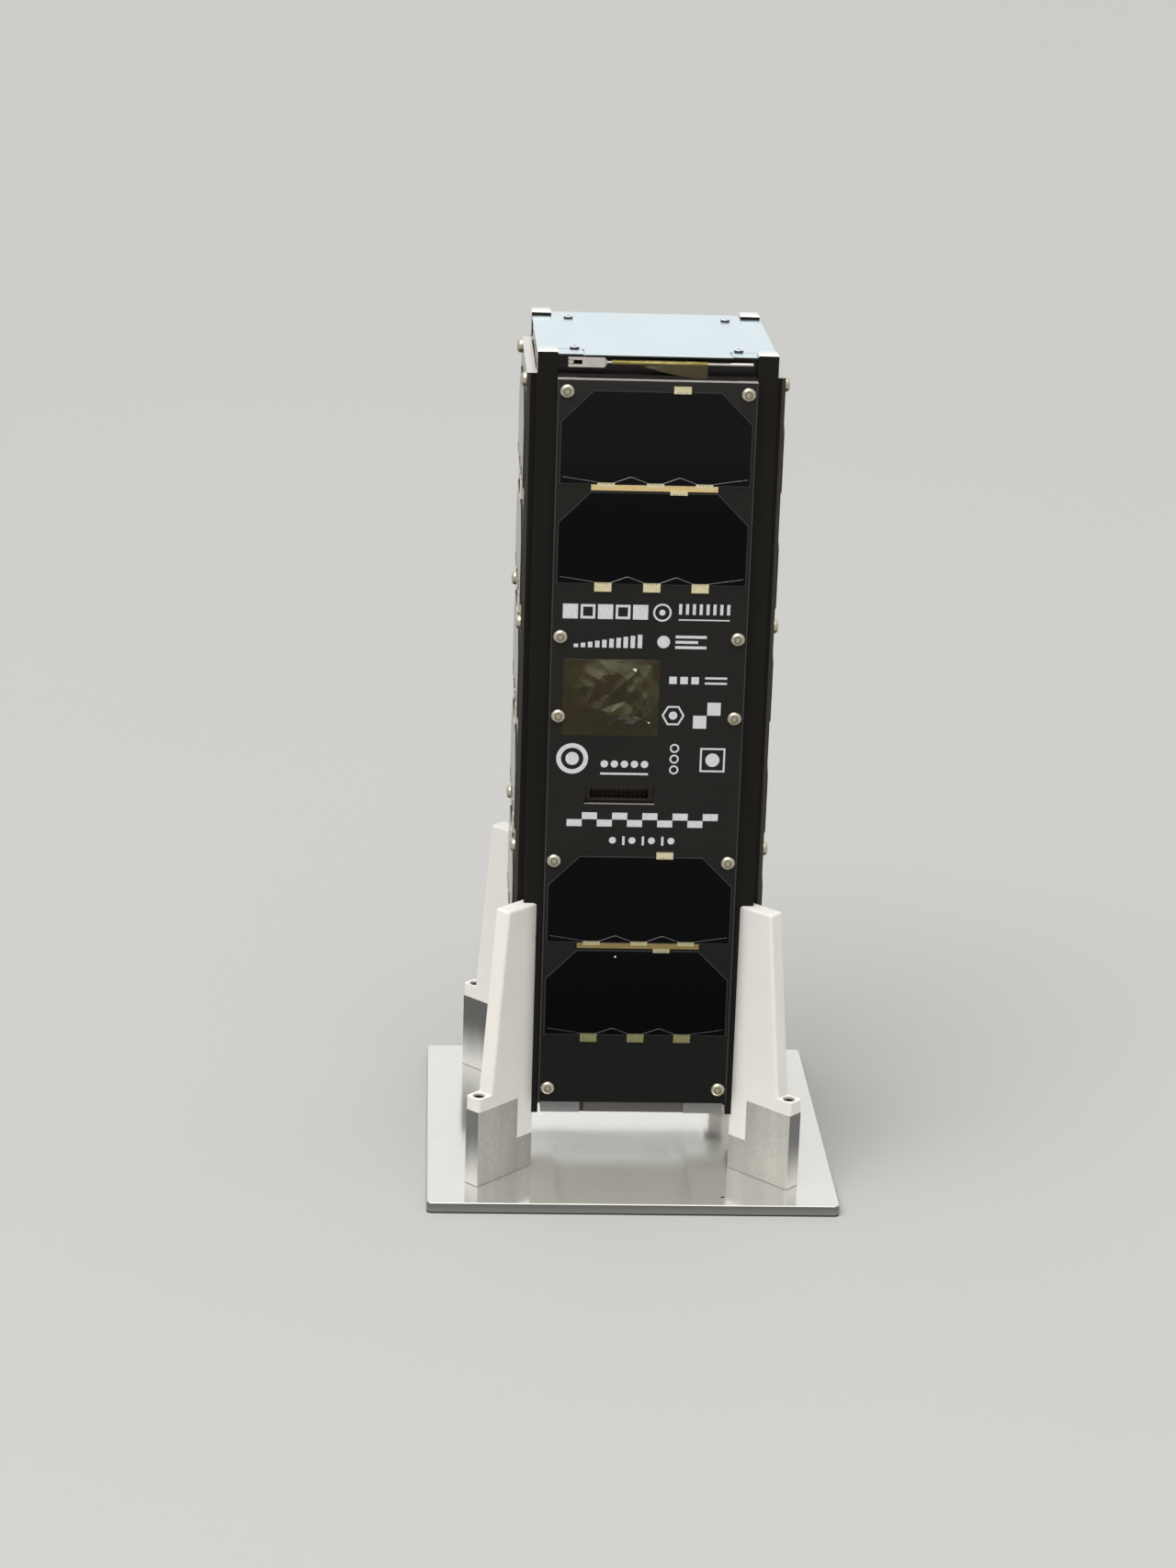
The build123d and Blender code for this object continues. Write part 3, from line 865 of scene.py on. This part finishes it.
def wire_runs():
    """Each wire's radius and points: a thin tail, two arches and a thin tail."""
    left, middle, right = LOW_TABS
    reach = TAB_HALF - WIRE_LAP
    runs = [(WIRE_TAIL_R, [*LEFT_TAIL, (left - reach, WIRE_RISE)])]
    for start, end in ((left, middle), (middle, right)):
        first, last = start + reach, end - reach
        crest = (first + last) / 2
        top = [(crest + across, WIRE_PEAK - drop) for across, drop in WIRE_CREST]
        runs.append((WIRE_R, [(first, WIRE_RISE), *top, (last, WIRE_RISE)]))
    runs.append((WIRE_TAIL_R, [(right + reach, WIRE_RISE), *RIGHT_TAIL]))
    return runs


def add_bus_wires():
    """The thin grey wires above each cell's lower tabs."""
    for name, turn in FACES:
        form = Form()
        for low in FRONT_CELLS if name == "front" else OTHER_CELLS:
            matrix = on_face(turn, 0, low, CELL_FACE)
            for radius, run in wire_runs():
                points = [matrix @ Vector((x * MM, z * MM, radius * MM * WIRE_LIFT)) for x, z in run]
                form.wire(points, radius * MM)
        form.piece(f"bus_wires_{name}", BUS_METAL, "root", "gold_contact", 60)


# Weld spots, in millimetres: how far apart, and how far in from the cell's edge
WELD_R = 0.26
WELD_DEEP = 0.03
WELD_COUNT = 4
WELD_PITCH = 1.25
WELD_UP = 0.5


def add_weld_spots():
    """A row of small weld spots on every tab."""
    for name, turn in FACES:
        form = Form()
        for low in FRONT_CELLS if name == "front" else OTHER_CELLS:
            rows = [(x, low + WELD_UP) for x in LOW_TABS] + [(TOP_TAB, low + CELL_HEIGHT - WELD_UP)]
            for x, z in rows:
                for i in range(WELD_COUNT):
                    spot = on_face(turn, x + WELD_PITCH * (i - (WELD_COUNT - 1) / 2), z, TAB_FACE)
                    form.prism(circle(WELD_R * MM, 10), -WELD_DEEP * MM, WELD_DEEP * MM, spot)
        form.piece(f"weld_spots_{name}", BUS_METAL, "root", "gold_contact")


# The glue spot, in millimetres: across the front and above the rails' feet, and its radii at its heights
GLUE_PLACE = (-9.7, 75.7)
GLUE_OUTLINE = ((0.48, -0.03), (0.44, 0.12), (0.30, 0.22), (0.12, 0.27))


def add_glue_spot():
    """A small pale drop near the top of the lowest front cell."""
    form = Form()
    matrix = on_face(0, *GLUE_PLACE, CELL_FACE)
    form.stack([form.row(circle(radius * MM, 16), height * MM, matrix) for radius, height in GLUE_OUTLINE])
    form.piece("glue_spot", PRINTED_INK, "root", "white_plastic", 80)


# Plain printed marks between the front cells, in millimetres: across the front and above the rails' feet. The
# ink stands out of the board by its depth, and reaches as far into it.
INK = 0.04
INK_BARS = (
    # left edge, lower edge, width, height, count, pitch across, rise of height for each
    (-36.8, 227.4, 6.4, 6.4, 3, 14.8, 0.0),
    (12.2, 229.9, 1.3, 4.6, 8, 2.9, 0.0),
    (12.2, 227.3, 21.6, 0.55, 1, 0.0, 0.0),
    (-31.8, 214.9, 1.9, 1.5, 10, 3.0, 0.48),
    (11.2, 214.9, 13.2, 1.2, 1, 0.0, 0.0),
    (11.2, 217.2, 9.6, 1.2, 1, 0.0, 0.0),
    (11.2, 219.5, 13.2, 1.2, 1, 0.0, 0.0),
    (9.2, 199.4, 3.2, 3.2, 3, 4.7, 0.0),
    (24.4, 199.4, 9.4, 0.9, 1, 0.0, 0.0),
    (24.4, 201.7, 9.4, 0.9, 1, 0.0, 0.0),
    (20.0, 179.8, 5.7, 5.7, 1, 0.0, 0.0),
    (25.9, 185.7, 5.7, 5.7, 1, 0.0, 0.0),
    (-18.8, 158.6, 20.4, 0.9, 1, 0.0, 0.0),
    (-32.6, 135.2, 6.5, 3.1, 5, 13.0, 0.0),
    (-26.1, 138.4, 6.5, 3.1, 5, 13.0, 0.0),
    (-8.4, 126.9, 1.0, 4.0, 3, 8.4, 0.0),
)
INK_RINGS = (
    # middle across, middle up, outer radius, width, sides
    (-26.2, 230.6, 4.4, 1.5, 4),
    (-11.4, 230.6, 4.4, 1.5, 4),
    (5.2, 230.6, 3.9, 0.8, 32),
    (11.4, 185.4, 4.9, 0.9, 6),
    (-31.0, 165.6, 6.8, 2.0, 40),
    (12.6, 161.2, 2.0, 0.7, 24),
    (12.6, 166.0, 2.0, 0.7, 24),
    (12.6, 170.8, 2.0, 0.7, 24),
    (29.0, 165.8, 7.6, 1.1, 4),
)
INK_DISCS = (
    # middle across, middle up, radius of the first, count, pitch across
    (5.2, 230.6, 1.3, 1, 0.0),
    (6.2, 217.8, 2.7, 1, 0.0),
    (11.4, 185.4, 1.8, 1, 0.0),
    (-31.0, 165.6, 2.9, 1, 0.0),
    (-17.2, 163.4, 1.6, 5, 4.3),
    (29.0, 165.8, 3.0, 1, 0.0),
    (-12.6, 129.0, 1.5, 4, 8.4),
)


def add_printed_marks():
    """Targets, scales and dots in white ink on the front board."""
    form = Form()
    flat = on_face(0, 0, 0)
    depth = (-INK * MM, INK * MM)
    for left, low, width, height, count, pitch, rise in INK_BARS:
        for i in range(count):
            high = height + rise * i
            middle = ((left + width / 2 + pitch * i) * MM, (low + high / 2) * MM)
            form.prism(rectangle(width * MM, high * MM, *middle), *depth, flat)
    for x, z, radius, width, sides in INK_RINGS:
        spot = on_face(0, x, z) @ turned(45 if sides == 4 else 0)
        form.hoop(circle(radius * MM, sides), circle((radius - width) * MM, sides), *depth, spot)
    for x, z, radius, count, pitch in INK_DISCS:
        for i in range(count):
            form.prism(circle(radius * MM, 28, (x + pitch * i) * MM, z * MM), *depth, flat)
    form.piece("printed_marks", PRINTED_INK, "root", "white_plastic")


# Amber film over the port, in millimetres: its lower left corner, across the front and above the rails' feet
PATCH_PLACE = (-35.8, 176.1)
PATCH_SIZE = (40.9, 33.6)
PATCH_BORDER = 6
BORDER_LIFT = 0.06
FOLD_LIFT = 0.08
PATCH_BACK = 0.01

# Its folds: across and up from that corner, and the height of each over the film's flat parts
PATCH_FOLDS = (
    (3.0, 3.2, 0.1), (10.5, 2.6, 0.1), (18.0, 2.2, 0.2), (26.0, 2.6, 0.1), (33.5, 2.8, 0.1),
    (38.2, 3.0, 0.1), (2.8, 10.0, 0.2), (2.6, 16.5, 0.2), (3.0, 22.0, 0.3), (3.2, 28.5, 0.1),
    (9.0, 30.8, 0.2), (15.1, 32.6, 0.3), (21.4, 32.4, 0.5), (27.0, 32.3, 0.3), (32.0, 32.3, 0.3),
    (37.5, 31.0, 0.2), (38.6, 25.5, 0.3), (6.1, 24.1, 0.5), (8.6, 20.7, 1.2), (12.6, 22.0, 2.9),
    (16.5, 27.1, 2.8), (20.1, 30.2, 2.0), (12.4, 19.6, 2.6), (23.6, 28.2, 2.6), (27.0, 25.8, 2.9),
    (33.1, 20.4, 3.0), (20.5, 19.4, 2.6), (27.0, 20.6, 2.5), (29.2, 29.9, 1.2), (31.4, 30.4, 1.1),
    (30.6, 29.0, 2.4), (30.9, 26.9, 1.3), (30.2, 28.0, 2.1), (34.4, 25.6, 2.0), (16.4, 12.2, 2.2),
    (25.8, 15.6, 1.2), (30.4, 12.8, 2.2), (27.4, 9.6, 3.2), (21.5, 9.4, 3.3), (31.2, 9.3, 2.0),
    (34.4, 8.0, 1.9), (37.4, 6.4, 0.9), (31.0, 8.3, 2.5), (37.0, 6.0, 1.6), (36.6, 12.0, 1.6),
    (36.9, 18.6, 2.0), (34.4, 17.4, 3.2), (33.9, 12.6, 3.0), (9.6, 13.0, 1.3), (12.4, 7.4, 0.8),
    (8.2, 6.4, 0.5), (23.6, 6.0, 0.5), (30.0, 5.4, 0.4), (14.4, 16.8, 1.7),
)

# Its creases: their sizes and depths, their mean depth, the slice of the noise that they follow, and the cuts
# that each facet's edge gets for them. The film takes them from one height on, and in full a rise above it.
CREASES = ((7.5, 1.35), (3.2, 0.30))
CREASE_MEAN = 0.35
CREASE_SLICE = 7.0
CREASE_CUTS = 5
LOOSE_FROM = 0.25
LOOSE_RISE = 1.6


def patch_points():
    """Points over the film patch with the height of each: flat at its border, folded inside."""
    wide, tall = PATCH_SIZE
    steps = [i / PATCH_BORDER for i in range(PATCH_BORDER)]
    border = [(wide * t, 0.0) for t in steps] + [(wide, tall * t) for t in steps]
    border += [(wide * (1 - t), tall) for t in steps] + [(0.0, tall * (1 - t)) for t in steps]
    points = [(u, v, BORDER_LIFT) for u, v in border]
    points += [(u, v, FOLD_LIFT + lift) for u, v, lift in PATCH_FOLDS]
    left, low = PATCH_PLACE
    return [(left + u, low + v, lift) for u, v, lift in points]


def crumple(form, matrix):
    """Splits the film into small facets and creases them where it stands off the board."""
    bmesh.ops.subdivide_edges(form.bm, edges=form.bm.edges[:], cuts=CREASE_CUTS, use_grid_fill=True)
    flat = matrix.inverted()
    for vert in form.bm.verts:
        place = flat @ vert.co / MM
        loose = min(max((place.z - LOOSE_FROM) / LOOSE_RISE, 0.0), 1.0)
        spot = Vector((place.x, place.y, CREASE_SLICE))
        creases = sum(abs(noise.noise(spot / size)) * deep for size, deep in CREASES)
        vert.co = matrix @ ((place + Vector((0, 0, (CREASE_MEAN - creases) * loose))) * MM)


def add_film_patch():
    """The crumpled film taped over the port."""
    points = patch_points()
    triangles = delaunay_2d_cdt([Vector((x, z)) for x, z, _ in points], [], [], 0, 1e-6)[2]
    form = Form()
    matrix = on_face(0, 0, 0)
    tops = [form.bm.verts.new(matrix @ Vector((x * MM, z * MM, lift * MM))) for x, z, lift in points]
    feet = [form.bm.verts.new(matrix @ Vector((x * MM, z * MM, PATCH_BACK * MM))) for x, z, _ in points]
    for a, b, c in triangles:
        form.bm.faces.new((tops[a], tops[b], tops[c]))
        form.bm.faces.new((feet[c], feet[b], feet[a]))
    for edge in [e for e in form.bm.edges if e.is_boundary and e.verts[0] in set(tops)]:
        a, b = (tops.index(v) for v in edge.verts)
        form.bm.faces.new((tops[b], tops[a], feet[a], feet[b]))
    crumple(form, matrix)
    form.piece("film_patch", AMBER_FILM, "root", "gold_contact", 13)


# The film wound round each antenna, in millimetres: where it starts and ends along the rod, and its radius
ROD_OUT = 48.0
ROD_Z = 335.7
SLEEVE_FROM = -19.3
SLEEVE_TO = 20.7
SLEEVE_R = 1.12
SLEEVE_STEPS = 44
SLEEVE_SIDES = 14

# Its loose end: where it starts and ends along the rod, and its rows, each with how far out it hangs and its
# share of the way down. The top is level, and the foot drops from its short end by the growth.
TAIL_FROM = -6.0
TAIL_TO = 20.5
TAIL_STEPS = 18
TAIL_ROWS = ((-0.80, 0.0), (-1.25, 0.35), (-1.60, 0.62), (-1.75, 0.80), (-1.85, 1.0))
TAIL_TOP = -0.75
TAIL_SHORT = -1.4
TAIL_GROWTH = 4.55
TAIL_THICK = 0.05


def add_film_sleeve(name, place, rng):
    """The film wound round one antenna's rod, a little uneven."""
    form = Form()
    upright = place @ Matrix.Rotation(math.radians(90), 4, "Y")
    rows = []
    for i in range(SLEEVE_STEPS + 1):
        x = SLEEVE_FROM + (SLEEVE_TO - SLEEVE_FROM) * i / SLEEVE_STEPS
        size = SLEEVE_R + rng.uniform(-0.03, 0.04)
        outline = [(u + rng.uniform(-0.03, 0.03), v) for u, v in circle(size, SLEEVE_SIDES)]
        rows.append(form.row([(u * MM, v * MM) for u, v in outline], x * MM, upright))
    form.stack(rows)
    form.piece(f"film_sleeve_{name}", WRAPPED_FILM, f"antenna_{name}", "gold_contact", 30)


def add_film_tail(name, place, rng):
    """The loose end of the film, which hangs below one antenna's rod and is longer towards its right."""
    columns = []
    for i in range(TAIL_STEPS + 1):
        share = i / TAIL_STEPS
        x = TAIL_FROM + (TAIL_TO - TAIL_FROM) * share
        foot = TAIL_SHORT - TAIL_GROWTH * math.sin(math.pi / 2 * share) + rng.uniform(-0.1, 0.1)
        bow = rng.uniform(-0.1, 0.05)
        fall = foot - TAIL_TOP
        columns.append([(x, out + bow * down, TAIL_TOP + fall * down) for out, down in TAIL_ROWS])
    form = Form()
    form.sheet(columns, TAIL_THICK, place)
    form.piece(f"film_tail_{name}", AMBER_TAIL, f"antenna_{name}", "gold_contact", 60)


def add_antenna_film():
    """The film on each antenna."""
    rng = random.Random(11)
    for name, turn in FACES:
        place = turned(turn) @ Matrix.Translation((0, -ROD_OUT * MM, RAIL_FOOT + ROD_Z * MM))
        add_film_sleeve(name, place, rng)
        add_film_tail(name, place, rng)


# The connector's pins, in millimetres: their rows above the rails' feet, and their reach out from the axis
PIN_COUNT = 12
PIN_PITCH = 2.0
PIN_SIZE = 0.5
PIN_ROWS = (148.1, 150.0)
PIN_BACK = 44.4
PIN_FRONT = 48.8

# Its flange, in millimetres: its size, its opening, and its back and front from the rails' outer faces
FLANGE_SIZE = (34.0, 10.0)
FLANGE_OPENING = (27.0, 6.0)
FLANGE_BACK = -0.7
FLANGE_FRONT = -0.05


def add_connector_pins():
    """Two rows of dull brown pins in the connector's pocket."""
    form = Form()
    for z in PIN_ROWS:
        for i in range(PIN_COUNT):
            x = SLOT_ACROSS + PIN_PITCH * (i - (PIN_COUNT - 1) / 2)
            spot = on_face(0, x, z, PIN_BACK * MM)
            form.prism(rectangle(PIN_SIZE * MM, PIN_SIZE * MM), 0.0, (PIN_FRONT - PIN_BACK) * MM, spot)
    form.piece("connector_pins", PIN_METAL, "root", "gold_contact")


def add_connector_flange():
    """The connector's brown flange against the back of the front panel, seen round it in the slot."""
    form = Form()
    outer, inner = (rectangle(wide * MM, tall * MM) for wide, tall in (FLANGE_SIZE, FLANGE_OPENING))
    place = on_face(0, SLOT_ACROSS, SLOT_UP, BODY_HALF)
    form.hoop(outer, inner, FLANGE_BACK * MM, FLANGE_FRONT * MM, place)
    form.piece("connector_flange", SLOT_FINISHES["connector_dark"], "root", "connector_dark")


# The studio. A world strength of 1 is white. The plain level lights the object, the camera sees the backdrop
# level, and gloss sees a bright world behind the object and overhead and a dim one behind the camera.
FLOOR_R = 14.0
PLAIN_LIGHT = 0.56
BACKDROP_LIGHT = 0.61
BRIGHT_GLOSS = 0.95
DIM_GLOSS = 0.40
GLOSS_SPREAD = 0.55
OVERHEAD_SHARE = 1.2

# The lamps: lengths in metres, angles in degrees
SUN_STRENGTH = 1.8
SUN_SPREAD = 50
SUN_TILT = (16, -10)
SOFTBOX_PLACE = (-0.9, -1.3, 1.9)
SOFTBOX_AIM = (0, 0, 0.2)
SOFTBOX_SIZE = (1.4, 0.8)
SOFTBOX_POWER = 9.0


def add_floor():
    """A plain pale floor."""
    bm = bmesh.new()
    bmesh.ops.create_circle(bm, cap_ends=True, segments=96, radius=FLOOR_R)
    mesh = bpy.data.meshes.new("floor")
    bm.to_mesh(mesh)
    bm.free()
    mesh.materials.append(PALE_FLOOR)
    floor = bpy.data.objects.new("floor", mesh)
    bpy.context.scene.collection.objects.link(floor)


def light_world():
    """An even pale world: its plain level lights the object, while gloss sees it darker behind the camera."""
    world = bpy.data.worlds.new("studio")
    bpy.context.scene.world = world
    world.use_nodes = True
    s = Shader(world.node_tree)
    rays = s.node("LightPath").socket.node.outputs
    kinds = ("Camera", "Glossy", "Transmission")
    camera, gloss, glass = (Socket(s, rays[f"Is {kind} Ray"]) for kind in kinds)
    _, away, up = s.axes(s.place("Generated"))
    mirrored = away.larger(up * OVERHEAD_SHARE).ramp(0.0, GLOSS_SPREAD, DIM_GLOSS, BRIGHT_GLOSS)
    background = world.node_tree.nodes["Background"]
    s.feed(background.inputs["Color"], (1.0, 0.995, 0.98))
    plain = PLAIN_LIGHT + (camera + glass) * (BACKDROP_LIGHT - PLAIN_LIGHT)
    s.feed(background.inputs["Strength"], plain + gloss * (mirrored - PLAIN_LIGHT))


def add_lights():
    """A wide soft sun from the upper left and a softbox above the camera."""
    sun = bpy.data.lights.new("soft_sun", "SUN")
    sun.energy = SUN_STRENGTH
    sun.angle = math.radians(SUN_SPREAD)
    lamp = bpy.data.objects.new("soft_sun", sun)
    lamp.rotation_euler = (*(math.radians(tilt) for tilt in SUN_TILT), 0)
    box = bpy.data.lights.new("softbox", "AREA")
    box.shape = "RECTANGLE"
    box.size, box.size_y = SOFTBOX_SIZE
    box.energy = SOFTBOX_POWER
    panel = bpy.data.objects.new("softbox", box)
    panel.location = SOFTBOX_PLACE
    aim = Vector(SOFTBOX_AIM) - panel.location
    panel.rotation_euler = aim.to_track_quat("-Z", "Y").to_euler()
    for lit in (lamp, panel):
        bpy.context.scene.collection.objects.link(lit)


# The camera: a long lens a metre and a half away, a little above and to the left of the object
CAMERA_PLACE = Vector((-0.09689, -1.45410, 0.63531))
CAMERA_YAW = 2.985
CAMERA_PITCH = 17.810
CAMERA_ROLL = -1.8145
FOCAL_PIXELS = 3747.2
IMAGE_HEIGHT = 1707.0
SENSOR = 36.0


def add_camera():
    """The photograph's view."""
    yaw, pitch, roll = (math.radians(a) for a in (CAMERA_YAW, CAMERA_PITCH, CAMERA_ROLL))
    level = Vector((math.cos(yaw), -math.sin(yaw), 0))
    tilted = Vector((math.sin(pitch) * math.sin(yaw), math.sin(pitch) * math.cos(yaw), math.cos(pitch)))
    right = level * math.cos(roll) - tilted * math.sin(roll)
    up = level * math.sin(roll) + tilted * math.cos(roll)
    back = right.cross(up)
    camera = bpy.data.cameras.new("camera")
    camera.sensor_width = SENSOR
    camera.lens = FOCAL_PIXELS * SENSOR / IMAGE_HEIGHT
    camera.clip_end = 100.0
    holder = bpy.data.objects.new("camera", camera)
    turn = Matrix((right, up, back)).transposed().to_4x4()
    holder.matrix_world = Matrix.Translation(CAMERA_PLACE) @ turn
    bpy.context.scene.collection.objects.link(holder)
    bpy.context.scene.camera = holder


bpy.context.scene.view_settings.view_transform = "Standard"
add_camera()
add_floor()
light_world()
add_lights()
dress_frame()
add_panel_screws()
add_deck_screws()
add_stand_screws()
add_bus_wires()
add_weld_spots()
add_glue_spot()
add_printed_marks()
add_film_patch()
add_antenna_film()
add_connector_pins()
add_connector_flange()
